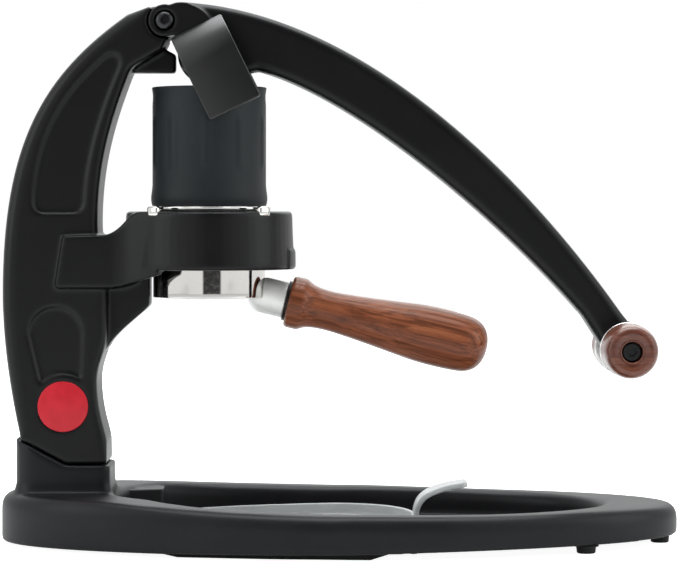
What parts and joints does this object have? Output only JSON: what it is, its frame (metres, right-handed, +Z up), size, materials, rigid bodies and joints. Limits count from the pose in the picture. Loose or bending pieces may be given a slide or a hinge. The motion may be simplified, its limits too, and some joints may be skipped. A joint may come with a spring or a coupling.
{
  "type": "manual lever espresso maker",
  "caption": "Hand-powered espresso maker: a curved post on an oval base, a long lever pressing a piston into a brew cylinder over a swivelling portafilter, and a drip tray.",
  "frame": {"origin": "on the table under the centre of the oval base", "axes": "+X from the post towards the portafilter's handle and the lever's grip, +Y to the far side, +Z up"},
  "size_m": [0.321, 0.158, 0.2566],
  "materials": {
    "base_paint": "fine satin powder coat, charcoal black",
    "black_paint": "satin black powder coat on a casting",
    "yoke_paint": "satin black paint on bent sheet",
    "black_rubber": "matt black rubber",
    "tray_plastic": "translucent pale grey moulding",
    "badge_red": "bare red enamelled disc",
    "bronze": "sintered bronze",
    "plain_steel": "ground steel",
    "dark_steel": "black oxide steel",
    "knob_wood": "oiled dark red-brown wood, turned",
    "handle_wood": "oiled reddish walnut, turned",
    "bright_ring": "bright turned ring",
    "chrome": "mirror polished",
    "dark_ring": "dark collar",
    "stainless": "turned stainless steel",
    "gasket_rubber": "moulded silicone rubber",
    "sleeve_silicone": "matt dark blue-grey silicone",
    "cap_plastic": "matt black moulding"
  },
  "bodies": {
    "stand": {"base_casting": "base_paint", "base_feet": "black_rubber", "post_casting": "black_paint", "post_screws": "dark_steel", "badge_disc": "badge_red", "pivot_bushing": "bronze"},
    "lever": {"lever_casting": "black_paint", "pivot_shaft": "plain_steel", "pivot_screws": "dark_steel", "grip_bolt": "dark_steel", "left_grip_knob": "knob_wood", "right_grip_knob": "knob_wood", "grip_rings": "bright_ring", "grip_screws": "dark_steel"},
    "yoke": {"left_yoke_cheek": "yoke_paint", "right_yoke_cheek": "yoke_paint", "yoke_pin": "plain_steel"},
    "brew_head": {"portafilter_body": "chrome", "portafilter_neck": "chrome", "handle_ferrule": "dark_ring", "handle_stud": "plain_steel", "wooden_handle": "handle_wood", "filter_basket": "stainless", "shower_screen": "stainless", "brew_cylinder": "stainless", "cylinder_gasket": "gasket_rubber", "silicone_sleeve": "sleeve_silicone"},
    "piston_set": {"piston": "stainless", "piston_o_rings": "black_rubber", "piston_stem": "stainless", "stem_cap": "cap_plastic"},
    "tray": {"drip_tray": "tray_plastic"}
  },
  "joints": [
    {"name": "lever_hinge", "type": "hinge", "parent": "stand", "child": "lever", "pos_m": [-0.0823, 0, 0.2472], "axis": [0, -1, 0], "range_deg": [0, 64]},
    {"name": "yoke_swing", "type": "hinge", "parent": "lever", "child": "yoke", "pos_m": [-0.062, 0, 0.2317], "axis": [0, -1, 0], "range_deg": [-95, 60]},
    {"name": "head_swivel", "type": "hinge", "parent": "stand", "child": "brew_head", "pos_m": [-0.062, 0, 0.1549], "axis": [0, 0, 1], "range_deg": [-120, 120]},
    {"name": "piston_slide", "type": "slide", "parent": "brew_head", "child": "piston_set", "axis": [0, 0, 1], "range_m": [0, 0.0224]},
    {"name": "tray_lift", "type": "slide", "parent": "stand", "child": "tray", "axis": [0, 0, 1], "range_m": [0, 0.045]}
  ],
  "couplings": [
    {"joint": "piston_slide", "follows": "lever_hinge", "m_per_rad": 0.02}
  ]
}
